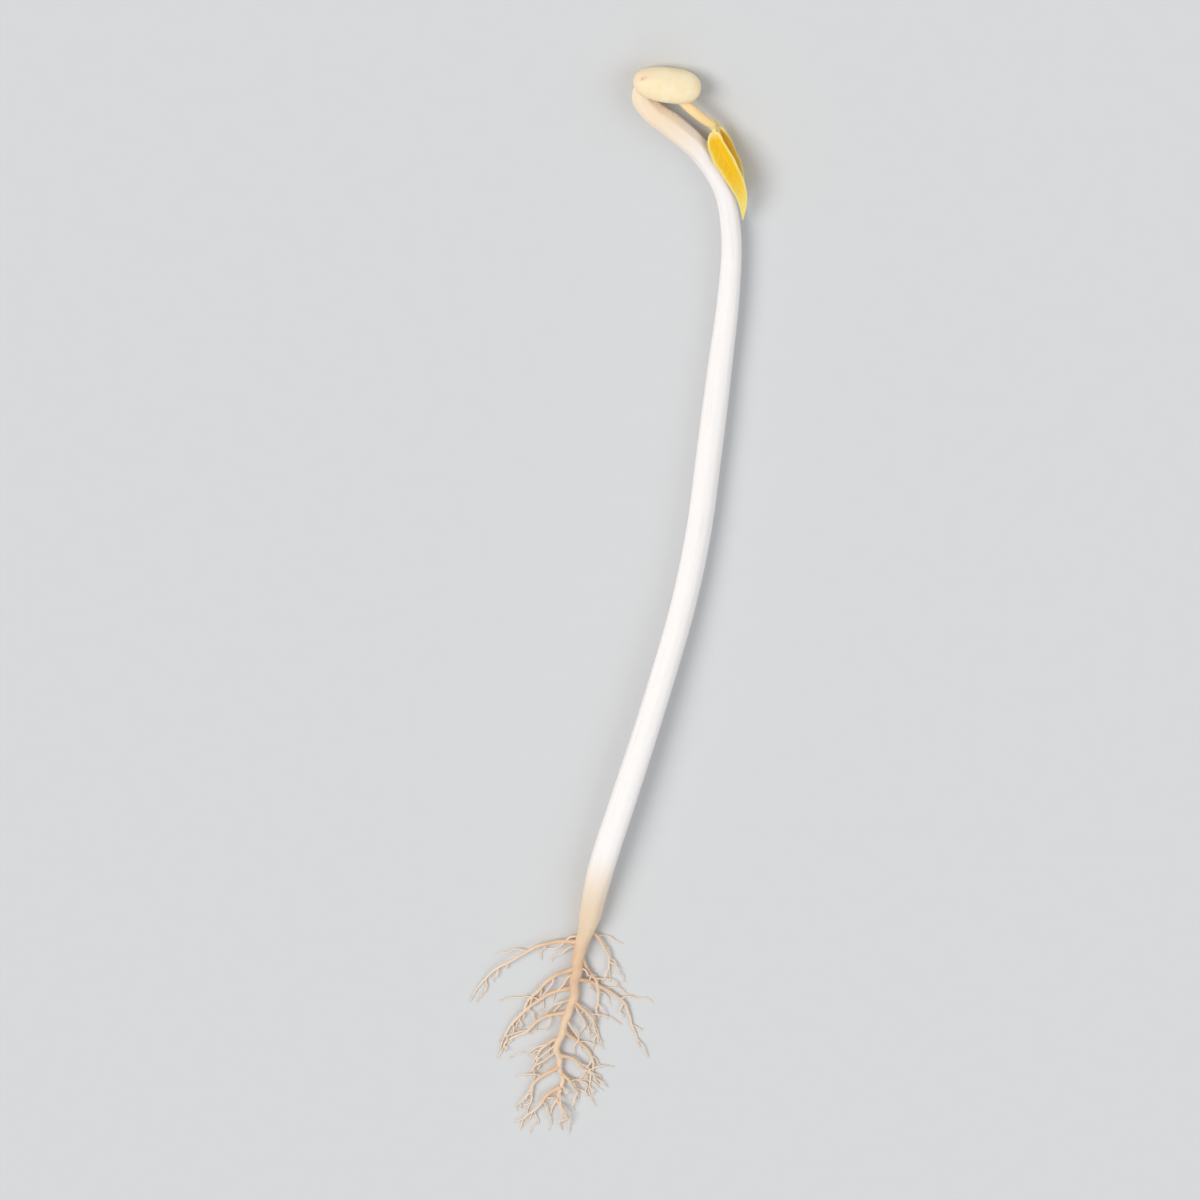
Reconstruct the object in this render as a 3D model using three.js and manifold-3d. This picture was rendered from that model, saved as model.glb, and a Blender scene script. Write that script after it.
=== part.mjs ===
// A mung bean sprout that lies on a table: a long pale stem whose top bends over in a hook,
// two thick seed leaves folded back from the end of the hook, a thin young stem that comes
// out between them with the first pair of leaves, and a taproot with side roots at the foot.
//
// Millimetres, +Z up. The head points along +Y. The origin is on the flat strip under the
// middle of the stem, which lies on the table.

import * as THREE from "three";
import { mergeVertices } from "three/addons/utils/BufferGeometryUtils.js";
import Module from "manifold-3d";

const wasm = await Module();
wasm.setup();

// ---------------------------------------------------------------- driving dimensions

// A route is a list of [x, y, z], where z is the height of the part's underside.

const SEAM = 0.08;                  // clear gap where one part has grown onto another

const STEM_ROUTE = [                // from the foot to the end of the hook
  [-15.0, -72.0, 0.0],
  [-13.6, -64.0, 0.5],
  [-10.9, -53.5, 0.8],
  [-6.8, -38.0, 0.6],
  [-3.2, -23.0, 0.15],
  [-1.2, -11.5, 0.0],
  [0.0, 0.0, 0.0],
  [1.2, 12.5, 0.0],
  [2.2, 23.5, 0.25],
  [2.35, 31.5, 0.5],
  [1.25, 38.1, 0.65],
  [-1.65, 43.4, 0.7],
  [-5.0, 46.8, 0.7],
  [-7.4, 48.75, 0.75],
  [-8.6, 50.6, 0.85],
  [-8.1, 52.3, 0.95],
  [-6.5, 52.8, 1.05],
];
const STEM_RADIUS = [               // at shares of the route's length
  [0, 1.42], [0.05, 1.7], [0.3, 1.66], [0.6, 1.54], [0.74, 1.34], [0.8, 1.22], [0.87, 1.26],
  [0.905, 1.46], [0.935, 1.6], [0.96, 1.5], [0.975, 1.25], [1, 1.05],
];
const STEM_SIDES = 16;
const STEM_STEPS = 56;              // from the foot to where the hook begins
const HOOK_STEPS = 18;
const HOOK_SHARE = 0.9;

const HEAD_MIDDLE = 2.13;           // height of the middle of the pair of seed leaves
const HEAD_ROLL = 24;               // degrees that the pair is rolled, away from the stem

const SEED_LEAF = {                 // half a bean, flat inside and crowned outside
  base: [-8.8, 52.6],               // the end at the hook
  tip: [-1.6, 51.6],
  halfWidth: 2.1,
  crown: 1.8,                       // from the inner face to the top of the crown
  rim: 0.35,                        // how far the inner face is rounded off at its edge
  openAngle: 5,                     // degrees that it opens on the side of the stem
};
const SEED_LEAF_RINGS = 20;
const SEED_LEAF_SIDES = 24;

const YOUNG_STEM_RADIUS = [[0, 0.65], [0.8, 0.62], [1, 0.5]];
const YOUNG_STEM_ROUTE = [          // from between the seed leaves to the first pair of leaves
  [-6.4, 52.6, 1.35],
  [-4.9, 51.3, 1.5],
  [-3.0, 49.5, 1.95],
  [-1.6, 48.3, 2.15],
  [-0.5, 47.4, 2.1],
  [0.2, 46.85, 2.05],
];

const LEAF_THICKNESS = 0.6;
const LEAF_STALK = 0.36;            // half the width of the leaf's short stalk
const LEAF_TIP = 0.16;              // half the width of its tip
const LEAF_FOLD = 36;               // degrees that each half rises from the midrib
const LEAVES = {                    // the midribs' routes, and how far each leaf is rolled over, in degrees
  leaf_upper: {
    route: [
      [0.1, 47.05, 2.8], [0.4, 45.3, 3.05], [1.25, 43.4, 3.2], [2.35, 41.2, 3.2], [3.25, 38.9, 3.0],
      [3.7, 36.6, 2.6], [3.75, 34.0, 2.3],
    ],
    halfWidth: 1.62,
    roll: 14,
  },
  leaf_lower: {
    route: [
      [0.35, 47.05, 1.8], [0.95, 45.3, 1.4], [1.8, 43.2, 1.15], [2.75, 41.0, 1.0], [3.4, 38.6, 0.9],
      [3.65, 36.9, 0.85], [3.8, 35.7, 0.8],
    ],
    halfWidth: 1.4,
    roll: 12,
  },
};

const TAPROOT_RADIUS = [[0, 1.36], [0.08, 1.0], [0.4, 0.66], [1, 0.32]];
const TAPROOT_ROUTE = [             // from 2 mm below the stem's foot
  [-15.35, -74.0, 0.0],
  [-16.7, -79.5, 0.2],
  [-17.2, -87.0, 0.0],
  [-19.4, -94.0, 0.3],
  [-18.8, -101.0, 0.0],
  [-20.6, -107.0, 0.0],
];
const SIDE_ROOTS = 14;
const SIDE_ROOT_LENGTH = [17, 7];   // at the stem's foot and at the root's tip
const SIDE_ROOT_RADIUS = [0.4, 0.3];
const SIDE_ROOT_SLANT = [30, 68];   // degrees off the taproot

const COLOURS = {
  stem: 0xf6efe9,
  root: 0xe4c7a6,
  seedLeaf: 0xf8e4bc,
  youngStem: 0xfbdca4,
  leaf: 0xf6c42a,
};

// ---------------------------------------------------------------- shape helpers

const { degToRad, lerp } = THREE.MathUtils;
const UP = new THREE.Vector3(0, 0, 1);

// A value read from [share, value] stops, with an even slope between them.
function valueAt(stops, share) {
  const next = stops.findIndex(([at]) => at >= share);
  if (next <= 0) return stops[0][1];
  const [a, from] = stops[next - 1];
  const [b, to] = stops[next];
  return lerp(from, to, (share - a) / (b - a));
}

// Seeded draws between 0 and 1, so that the same roots grow each time.
function seededDraw(seed) {
  let state = seed;
  return () => {
    state = (state * 1664525 + 1013904223) % 4294967296;
    return state / 4294967296;
  };
}

function curveThrough(route) {
  const points = route.map((point) => new THREE.Vector3(...point));
  return new THREE.CatmullRomCurve3(points, false, "centripetal");
}

function evenShares(steps, from = 0, to = 1) {
  return Array.from({ length: steps + 1 }, (_, i) => lerp(from, to, i / steps));
}

// Only the positions stay, with each corner kept once, so that the mesh is closed.
function closedMesh(geometry) {
  geometry.deleteAttribute("normal");
  geometry.deleteAttribute("uv");
  return mergeVertices(geometry, 1e-5);
}

// A rod along a route, never below the table. Its rings stand upright and have a level
// side at the bottom. A rod that is grown keeps its middle line.
function rodAlong(route, shares, sides, radiusAt, grown = 0) {
  const curve = curveThrough(route);
  const steps = shares.length - 1;
  const level = Math.cos(Math.PI / sides);
  const rod = new THREE.CylinderGeometry(1, 1, 1, sides, steps, false, Math.PI / sides);
  const corners = rod.attributes.position;
  for (let i = 0; i < corners.count; i++) {
    const share = shares[Math.round((0.5 + corners.getY(i)) * steps)];
    const underside = curve.getPointAt(share);
    const ahead = curve.getTangentAt(share).setZ(0).normalize();
    const radius = radiusAt(share);
    const across = corners.getX(i) * (radius + grown);
    const height = Math.max(underside.z, 0) + radius * level + corners.getZ(i) * (radius + grown);
    corners.setXYZ(i, underside.x + ahead.y * across, underside.y - ahead.x * across, height);
  }
  return closedMesh(rod);
}

function asSolid(geometry) {
  const vertProperties = new Float32Array(geometry.attributes.position.array);
  const triVerts = new Uint32Array(geometry.index.array);
  return new wasm.Manifold(new wasm.Mesh({ numProp: 3, vertProperties, triVerts }));
}

// The largest body of a solid, as a geometry: loose scraps of a cut are dropped.
function asGeometry(solid) {
  const bodies = solid.decompose();
  bodies.sort((a, b) => b.volume() - a.volume());
  const mesh = bodies[0].getMesh();
  const geometry = new THREE.BufferGeometry();
  geometry.setAttribute("position", new THREE.BufferAttribute(mesh.vertProperties, 3));
  geometry.setIndex(new THREE.BufferAttribute(mesh.triVerts, 1));
  return geometry;
}

function part(name, geometry, color, roughness) {
  geometry.computeVertexNormals();
  const material = new THREE.MeshStandardMaterial({ color, roughness, metalness: 0 });
  const mesh = new THREE.Mesh(geometry, material);
  mesh.name = name;
  return mesh;
}

// ---------------------------------------------------------------- the stem

function stemGeometry(grown = 0) {
  const straight = evenShares(STEM_STEPS, 0, HOOK_SHARE);
  const hook = evenShares(HOOK_STEPS, HOOK_SHARE, 1).slice(1);
  const radiusAt = (share) => valueAt(STEM_RADIUS, share);
  return rodAlong(STEM_ROUTE, [...straight, ...hook], STEM_SIDES, radiusAt, grown);
}

// ---------------------------------------------------------------- the seed leaves

// How full the bean is at a place along it, from -1 at the base to 1 at the tip: fuller
// than a ball, so that its ends are blunt.
function fullness(along) {
  const round = Math.sqrt(Math.max(1 - along ** 2, 1e-9));
  return Math.max(1 - Math.abs(along) ** 3, 0) ** 0.48 / round;
}

// side is 1 for the upper seed leaf and -1 for the lower one, its mirror image.
function seedLeafGeometry(side) {
  const [baseX, baseY] = SEED_LEAF.base;
  const [tipX, tipY] = SEED_LEAF.tip;
  const halfLength = Math.hypot(tipX - baseX, tipY - baseY) / 2;
  const bean = new THREE.SphereGeometry(1, SEED_LEAF_SIDES, SEED_LEAF_RINGS);
  bean.rotateZ(Math.PI / 2);
  const corners = bean.attributes.position;
  for (let i = 0; i < corners.count; i++) {
    const along = corners.getX(i);
    const full = fullness(along);
    const across = corners.getY(i) * full * SEED_LEAF.halfWidth;
    const out = corners.getZ(i) * full;
    const edge = SEED_LEAF.rim * Math.max(1 - Math.abs(out), 0) ** 2;
    const crown = SEED_LEAF.crown * Math.max(out, 0) ** 0.85 * (1 - 0.07 * along);
    corners.setXYZ(i, along * halfLength, across, crown + edge);
  }
  const leaf = closedMesh(bean);
  leaf.translate(0, -SEED_LEAF.halfWidth, 0);
  leaf.rotateX(-degToRad(SEED_LEAF.openAngle));
  leaf.translate(0, SEED_LEAF.halfWidth, SEAM);
  if (side < 0) {
    leaf.scale(1, 1, -1);
    leaf.setIndex(Array.from(leaf.index.array).reverse());
  }
  leaf.rotateX(-degToRad(HEAD_ROLL));
  leaf.rotateZ(Math.atan2(tipY - baseY, tipX - baseX));
  leaf.translate((baseX + tipX) / 2, (baseY + tipY) / 2, HEAD_MIDDLE);
  return leaf;
}

// ---------------------------------------------------------------- the young stem and its leaves

function youngStemGeometry(grown = 0) {
  const radiusAt = (share) => valueAt(YOUNG_STEM_RADIUS, share);
  return rodAlong(YOUNG_STEM_ROUTE, evenShares(16), 12, radiusAt, grown);
}

// Half the leaf's width at a share of its length: a short stalk, a broad base and a long tip.
function leafHalfWidth(share, widest) {
  const belly = Math.max(Math.sin(Math.PI * share ** 0.48), 0) ** 0.85;
  const end = lerp(LEAF_STALK, LEAF_TIP, share);
  return end + (widest - end) * belly;
}

// A blade of even thickness, folded up from the midrib that it follows.
function leafGeometry({ route, halfWidth, roll }) {
  const curve = curveThrough(route);
  const blade = new THREE.BoxGeometry(2, 1, 1, 6, 20, 1);
  const fold = degToRad(LEAF_FOLD);
  const corners = blade.attributes.position;
  for (let i = 0; i < corners.count; i++) {
    const share = (corners.getY(i) + 0.5) ** 1.15;
    const midrib = curve.getPointAt(share);
    const ahead = curve.getTangentAt(share);
    const right = new THREE.Vector3().crossVectors(ahead, UP).normalize();
    const up = new THREE.Vector3().crossVectors(right, ahead);
    right.applyAxisAngle(ahead, degToRad(roll));
    up.applyAxisAngle(ahead, degToRad(roll));
    const reach = corners.getX(i) * leafHalfWidth(share, halfWidth);
    const rise = Math.hypot(reach * Math.sin(fold), 0.2) - 0.2;
    midrib.addScaledVector(right, reach * Math.cos(fold));
    midrib.addScaledVector(up, rise + corners.getZ(i) * LEAF_THICKNESS / Math.cos(fold));
    corners.setXYZ(i, midrib.x, midrib.y, midrib.z);
  }
  return closedMesh(blade);
}

// ---------------------------------------------------------------- the roots

// The taproot's route starts a seam below the stem's foot, in line with the stem.
function taprootRoute() {
  const stem = curveThrough(STEM_ROUTE);
  const top = stem.getPointAt(0).addScaledVector(stem.getTangentAt(0).setZ(0), -SEAM);
  return [[top.x, top.y, 0], ...TAPROOT_ROUTE];
}

// One side root: it leaves the taproot at a slant, sinks to the table and bends forward.
function sideRootGeometry(taproot, share, side, draw) {
  const start = taproot.getPointAt(share);
  const ahead = taproot.getTangentAt(share).setZ(0).normalize();
  const length = lerp(...SIDE_ROOT_LENGTH, share) * lerp(0.6, 1.3, draw());
  const slant = side * degToRad(lerp(...SIDE_ROOT_SLANT, draw()));
  const sway = draw() - 0.5;
  const lift = 0.7 * draw();
  const turns = [slant, 0.7 * slant + 0.4 * sway, 0.4 * slant - 0.5 * sway, 0.25 * slant + 0.4 * sway];
  const lifts = [lift, lift, 0.3 * lift, 0];
  const middle = valueAt(TAPROOT_RADIUS, share) - SIDE_ROOT_RADIUS[0];
  const route = [[start.x, start.y, start.z + middle]];
  turns.forEach((turn, i) => {
    start.addScaledVector(ahead.clone().applyAxisAngle(UP, turn), length / turns.length);
    route.push([start.x, start.y, lifts[i]]);
  });
  return rodAlong(route, evenShares(9), 6, (along) => lerp(...SIDE_ROOT_RADIUS, along));
}

function rootGeometry() {
  const route = taprootRoute();
  const taproot = curveThrough(route);
  const draw = seededDraw(20);
  let root = asSolid(rodAlong(route, evenShares(32), 12, (share) => valueAt(TAPROOT_RADIUS, share)));
  for (let i = 0; i < SIDE_ROOTS; i++) {
    const share = 0.05 + 0.84 * (i + 0.5 * draw()) / SIDE_ROOTS;
    const side = i % 2 === 0 ? 1 : -1;
    root = root.add(asSolid(sideRootGeometry(taproot, share, side, draw)));
  }
  return asGeometry(root);
}

// ---------------------------------------------------------------- the whole sprout

function buildSprout() {
  const sprout = new THREE.Group();
  const stemRoom = asSolid(stemGeometry(SEAM));
  const youngStemRoom = asSolid(youngStemGeometry(SEAM));

  sprout.add(part("hypocotyl", stemGeometry(), COLOURS.stem, 0.35));
  sprout.add(part("taproot", rootGeometry(), COLOURS.root, 0.6));
  for (const [name, side] of [["cotyledon_upper", 1], ["cotyledon_lower", -1]]) {
    const bean = asSolid(seedLeafGeometry(side)).subtract(stemRoom).subtract(youngStemRoom);
    sprout.add(part(name, asGeometry(bean), COLOURS.seedLeaf, 0.45));
  }
  const youngStem = asSolid(youngStemGeometry()).subtract(stemRoom);
  sprout.add(part("epicotyl", asGeometry(youngStem), COLOURS.youngStem, 0.45));
  for (const [name, leaf] of Object.entries(LEAVES)) {
    const blade = asSolid(leafGeometry(leaf)).subtract(youngStemRoom);
    sprout.add(part(name, asGeometry(blade), COLOURS.leaf, 0.5));
  }
  return sprout;
}

export default buildSprout();
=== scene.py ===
"""Grows the living skin of a mung bean sprout over its solid parts and lays it on a table.

The sprout lies along Y with its head towards +Y. Lengths in the tables are in millimetres
and are multiplied by MM, because Blender holds metres.
"""
import math

import bpy
import numpy as np
from bpy.props import FloatProperty, FloatVectorProperty, IntProperty, PointerProperty
from mathutils import Matrix, Vector, noise


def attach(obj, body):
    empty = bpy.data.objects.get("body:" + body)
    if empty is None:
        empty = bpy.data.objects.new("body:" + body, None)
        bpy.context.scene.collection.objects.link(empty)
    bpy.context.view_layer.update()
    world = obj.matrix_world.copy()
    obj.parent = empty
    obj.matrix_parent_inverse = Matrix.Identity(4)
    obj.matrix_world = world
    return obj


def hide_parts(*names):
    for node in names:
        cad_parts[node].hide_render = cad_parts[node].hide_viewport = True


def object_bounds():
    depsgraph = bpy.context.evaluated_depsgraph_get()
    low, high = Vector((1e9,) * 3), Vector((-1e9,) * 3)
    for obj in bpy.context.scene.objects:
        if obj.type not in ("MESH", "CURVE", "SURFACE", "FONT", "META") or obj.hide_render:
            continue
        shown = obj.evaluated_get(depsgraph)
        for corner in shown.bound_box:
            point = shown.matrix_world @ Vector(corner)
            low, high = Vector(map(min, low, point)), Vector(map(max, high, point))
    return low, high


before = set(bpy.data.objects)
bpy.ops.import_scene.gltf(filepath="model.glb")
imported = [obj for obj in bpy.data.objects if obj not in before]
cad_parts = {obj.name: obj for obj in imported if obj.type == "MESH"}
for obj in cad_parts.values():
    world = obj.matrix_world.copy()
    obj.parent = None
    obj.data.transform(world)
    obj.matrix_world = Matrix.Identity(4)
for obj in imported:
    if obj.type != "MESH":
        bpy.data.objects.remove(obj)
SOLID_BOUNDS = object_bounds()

bl_info = {
    "name": "Mung bean sprout",
    "version": (1, 0, 0),
    "blender": (4, 5, 0),
    "location": "3D View > Sidebar > Sprout",
    "description": "Grows the skin of a mung bean sprout over its solid parts",
    "category": "Add Mesh",
}

MM = 0.001
BODY = "root"

# A route is a list of (x, y, z), where z is the height of the part's underside.
STEM_ROUTE = [
    (-15, -72, 0), (-13.6, -64, 0.5), (-10.9, -53.5, 0.8), (-6.8, -38, 0.6),
    (-3.2, -23, 0.15), (-1.2, -11.5, 0), (0, 0, 0), (1.2, 12.5, 0),
    (2.2, 23.5, 0.25), (2.35, 31.5, 0.5), (1.25, 38.1, 0.65), (-1.65, 43.4, 0.7),
    (-5, 46.8, 0.7), (-7.4, 48.75, 0.75), (-8.6, 50.6, 0.85), (-8.1, 52.3, 0.95),
    (-6.5, 52.8, 1.05),
]
STEM_RADIUS = [
    (0, 1.42), (0.05, 1.7), (0.3, 1.66), (0.6, 1.54), (0.74, 1.34), (0.8, 1.22), (0.87, 1.26),
    (0.905, 1.46), (0.935, 1.6), (0.96, 1.45), (0.975, 1.15), (1, 0.9),
]
HOOK_SHARE = 0.9  # share of the stem where the hook begins
STEM_RINGS = (380, 150)  # below the hook and round it
STEM_MARGIN = 0.0004  # share left off at each end
STEM_SIDES = 56
FOOT_INSET = 0.1  # how far it draws in under the root's skin
FOOT_LENGTH = 1.6
BARE_FROM = (0.026, 0.06)  # shares where the stem comes out of the root's skin
SWELL_SIZE = 3.2
RIBS = 7
RIB_SWAY = 0.5  # how far the ribs wind to and fro
RIB_SWAY_LENGTH = 11
OVAL = 0.035  # how far the stem is from round
OVAL_TURN_LENGTH = 24
CREASES_BEGIN = (0.925, 0.95)
CREASES_END = (0.985, 1)
CREASE_GAP = 0.66
CREASE_DEPTH = 0.024
CREASE_UNEVEN = 0.03
CREASE_SHIFT = 0.25
INSET = 0.001
STOP_EASE = 0.03  # share over which stops are eased, each way
RESTING = 0.985  # height of a strand's middle, in radii
TUBE_TIP = 0.06  # share of the radius left at a tube's end

HEAD_MIDDLE = 2.13  # height of the middle of the pair of seed leaves
HEAD_ROLL = 24  # degrees that the pair leans away from the stem
SEED_BASE = (-8.8, 52.6)
SEED_TIP = (-1.6, 51.6)
SEED_HALF_WIDTH = 2.1
SEED_CROWN = 1.8
SEED_RIM = 0.22
SEED_OPEN = 5  # degrees, on the side of the stem
SEED_SHOULDER = 0.85  # how far its base reaches on over the hook
SEED_GAP = 0.04  # half the gap between the two
SEED_RINGS = 120
SEED_SIDES = 128
SEED_END = 3.0  # how blunt its ends are, with the next
SEED_FULLNESS = 0.48
SEED_DOME = 0.85  # the lower, the flatter its crown is
SEED_SHOULDER_FROM = (0.3, 1.1)
WRINKLES_FROM = (0.05, 0.4)  # how far out from the flat side they begin
FURROW_SIZE = 0.9
DENT_SIZE = 2.2
DENT_DEPTH = 1.6  # in depths of a wrinkle
YOUNG_ROOM = 0.7  # radius of the bed that the young stem lies in
BED_POINTS = 60
SCAR_AT = (-0.95, 0.18)  # in half lengths and half widths from the middle
SCAR_SIZE = (0.42, 0.24)
SCAR_SLANT = 0.5
SCAR_STRENGTH = 0.75

YOUNG_ROUTE = [
    (-6.4, 52.6, 1.35), (-4.9, 51.3, 1.5), (-3, 49.5, 1.95), (-1.6, 48.3, 2.15),
    (-0.5, 47.4, 2.1), (0.2, 46.85, 2.05),
]
YOUNG_RADIUS = [(0, 0.65), (0.78, 0.6), (0.9, 0.56), (1, 0.46)]
YOUNG_RINGS = 80
YOUNG_SIDES = 32
YOUNG_RIBS = 5
YOUNG_RIB = 0.012
YOUNG_SWELL = 0.03
BUD_ROUTE = [(-0.2, 47, 2.3), (0.4, 46.4, 2.35), (0.75, 45.7, 2.35), (0.95, 45, 2.3)]
SCALE_ROUTES = [
    [(-0.4, 47.4, 2.15), (0.3, 47.15, 2.15), (0.85, 46.55, 2.1)],
    [(-0.4, 46.8, 2.15), (-0.1, 46.25, 2.15), (0.25, 45.65, 2.1)],
]
BUD_WIDTH = [(0, 0.2), (0.3, 0.28), (0.7, 0.16), (1, 0.04)]
SCALE_WIDTH = [(0, 0.22), (0.35, 0.26), (0.75, 0.14), (1, 0.03)]
BUD_FLATNESS = 0.8  # thickness over width
SCALE_FLATNESS = 0.4
POINT_RINGS = 24  # round the bud and round each scale
POINT_SIDES = 16

UPPER_LEAF = {
    "route": [
        (0, 47.05, 2.7), (0.35, 45.3, 3.05), (1.25, 43.4, 3.2), (2.35, 41.2, 3.2),
        (3.25, 38.9, 3), (3.7, 36.6, 2.6), (3.75, 34, 2.3),
    ],
    "widest": 1.62,  # half its width where it is widest
    "roll": 14,  # degrees
    "paleness_and_painted_light_from": 0.6,  # where its paler edge starts, out from the midrib; on the lower leaf the same paleness also paints light
    "seed": 0.0,
}
LOWER_LEAF = {
    "route": [
        (0.2, 47.05, 2.25), (0.95, 45.3, 1.45), (1.8, 43.2, 1.15), (2.75, 41, 1),
        (3.4, 38.6, 0.9), (3.65, 36.9, 0.85), (3.8, 35.7, 0.8),
    ],
    "widest": 1.4,
    "roll": 12,
    # reaches far in, so the paleness paints light over the shaded inner face that shows beside the upper
    # leaf
    "paleness_and_painted_light_from": 0.1,
    "seed": 2.0,
}
LEAF_RINGS = 240
LEAF_SIDES = 168
LEAF_BELLY = 0.53  # the lower, the nearer its base it is widest
STALK_HALF_WIDTH = 0.3
STALK_SHARE = 0.055
STALK_END = 0.16  # share where it has turned into the blade
STALK_THICKNESS = 0.46
STALK_PALE = (0.03, 0.14)  # shares where its paleness ends
LEAF_TIP = 0.06
LEAF_FLOOR = 0.02
LEAF_FOLD = 36  # degrees that each half rises
FOLD_ROUNDING = 0.2
FOLD_EASE = 0.25  # share of the fold that is gone at the tip
VEIN_SLANT = 1.05
VEIN_NEARNESS = 0.7  # distance to a slanting vein over that along the rib
VEIN_WIDTH = 0.085
VEIN_BEGINS = (0.1, 0.2)
VEIN_FADES = (0.7, 0.97)  # out from the midrib
PUFF_FADES = (0.75, 1)
PUFF_BELOW = 0.6  # of what it is above
MIDRIB_WIDTH = (0.17, 0.07)  # at base and tip
KEEL = 0.16  # how far the midrib stands out below
KEEL_WIDTH = 0.2
WAVE = 0.14
RIPPLES = [(0.6, 1.5, 1, 1.3), (0.4, 2.7, 2, 2.1)]  # size, pace, and shifts by leaf and by side

TAPROOT_COLLAR = 3.4  # how far the root's skin reaches up over the stem's foot
TAPROOT_ROUTE = [
    (-15.01, -72.1, 0), (-15.35, -74, 0), (-16.7, -79.5, 0.2),
    (-17.2, -87, 0), (-19.4, -94, 0.3), (-18.8, -101, 0), (-20.6, -107, 0),
]
TAPROOT_RADIUS = [
    (0, 1.5), (0.02, 1.54), (0.05, 1.52), (0.082, 1.47), (0.106, 1.38), (0.155, 1.06),
    (0.22, 0.86), (0.42, 0.62), (0.8, 0.36), (1, 0.1),
]
COLLAR_SHARE = 0.08  # share of the root's skin that is its collar
SIDE_ROOTS = 14
SIDE_PLACES = (0.05, 0.89)  # shares of the taproot
SIDE_STRAY = 0.5  # how far one starts off its even place, in gaps
SIDE_LENGTH = (17, 7)  # at the taproot's base and tip
SIDE_VARIES = (0.6, 1.3)
SIDE_RADIUS = [(0, 0.4), (0.1, 0.27), (0.6, 0.17), (1, 0.06)]
SIDE_SLANT = (30, 68)
SIDE_LIFT = 0.7
SIDE_SINK = 0.3  # how far its underside starts below the taproot's middle

# The stretches of a branching root: shares of its slant, sway and lift.
BRANCH_STRETCHES = [(1, 0, 1), (0.7, 0.4, 1), (0.4, -0.5, 0.3), (0.25, 0.4, 0)]

# Each kind of strand: its radius and the scale of that, its rings and the points round each,
# and how young its base and its tip are.
TAPROOT_STRAND = (TAPROOT_RADIUS, 1, 260, 40, (0, 0.7))
SIDE_STRAND = (SIDE_RADIUS, 1, 60, 12, (0.1, 1))
ROOTLET_STRAND = (SIDE_RADIUS, 0.4, 22, 8, (0.6, 1))
THREAD_STRAND = (SIDE_RADIUS, 0.55, 40, 10, (0.4, 1))

# Rootlets grow on the side roots, threads on the taproot. Bounds: slant, length, sway, lift.
# Sizes: at the base and at the tip of what they grow on.
ROOTLET_BOUNDS = [(20, 60), (2, 6.5), (-45, 45), (0, 0.6)]
ROOTLET_SIZE = (1.1, 0.6)
ROOTLET_PLACES = (0.15, 0.9)
ROOTLET_SINK = 0.12
THREAD_BOUNDS = [(15, 75), (3.5, 11), (-70, 70), (0.2, 1.2)]
THREAD_SIZE = (1.15, 0.65)
THREAD_PLACES = (0.06, 0.92)
THREAD_SINK = 0.1
THREAD_HEIGHT = (-0.4, 0.3)  # off the taproot's middle, in radii

WANDER_SIZE = 2.6
WANDER = 0.35  # how far a root strays, over how long it has been free
FREE_LENGTH = 1.2
KNOT_SIZE = 0.8
KNOT_HEIGHT = 0.1  # in radii of the strand
COLLAR_FADE = 7

HAIR_SIDES = 4
HAIR_POINTS = 5
HAIR_PLACES = (0.25, 0.97)  # shares of a strand
HAIR_BELOW = 0.35  # how far below level they grow, in radians
HAIR_START = 0.8  # in radii of the strand
HAIR_LENGTH = (0.2, 0.6)
HAIR_WIDTH = (0.011, 0.004)  # at root and tip
HAIR_LEAN = (-0.7, 0.9)
HAIR_CURL = 0.35
HAIR_FLOOR = 0.012
HAIR_ASKEW = (0.31, 0.17, 0.94)  # a direction that no hair grows along

TABLE_HALF = 2000
FILL = 0.9  # share of the frame's height that the sprout fills
LAMPS = [  # name, way to it, share of the main lamp, spread in degrees, colour
    ("main_lamp", (-0.6, 0.35, 0.75), 1.0, 34, (1.0, 0.98, 0.95)),
    ("side_lamp", (0.75, 0.1, 0.6), 0.4, 50, (0.95, 0.97, 1.0)),
    ("low_lamp", (0.1, -0.8, 0.5), 0.16, 50, (1.0, 0.98, 0.96)),
]


# ------ settings


def tone(code):
    """A colour written as six hex digits, as the linear numbers that shaders use."""
    shares = [int(code[i:i + 2], 16) / 255 for i in (0, 2, 4)]
    return tuple(s / 12.92 if s <= 0.04045 else ((s + 0.055) / 1.055) ** 2.4 for s in shares)


STEM_CLOUD = tone("faf2f1")
STEM_FIBRE = tone("ecdfd6")
YOUNG_FIBRE = tone("eccb90")
SEED_CLOUD = tone("fbdca8")
SEED_PORE = tone("edca92")
LEAF_CLOUD = tone("fac826")
LEAF_END = tone("fbe390")
LEAF_CELL = tone("f0b40a")
ROOT_FIBRE = tone("d8b08a")
COLLAR_TAN = tone("ecd5b8")
HAIR_PATCH = tone("e9cfb4")
WHITE = tone("ffffff")


def colour_setting(label, of_what, code):
    about = "Colour of " + of_what
    return FloatVectorProperty(
        name=label, description=about, subtype="COLOR", min=0, max=1, default=tone(code)
    )


def length_setting(label, about, millimetres):
    return FloatProperty(
        name=label, description=about, unit="LENGTH", min=0, precision=6, default=millimetres * MM
    )


def count_setting(label, about, count, most):
    return IntProperty(name=label, description=about, default=count, min=0, max=most)


class StemSettings(bpy.types.PropertyGroup):
    """Looks of the stem and of the young stem above the seed leaves."""

    flesh: colour_setting("Flesh", "the stem's middle", "fefaf9")
    hook: colour_setting("Hook", "the stem near the seed leaves", "f7dfc0")
    foot: colour_setting("Foot", "the stem where the root begins", "ecd5b8")
    young: colour_setting("Young stem", "the stem above the seed leaves", "ffdd96")
    swell: length_setting("Swell", "How far the stem's skin swells and sinks", 0.05)
    rib: length_setting("Rib", "Height of the faint ribs along the stem", 0.026)


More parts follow.
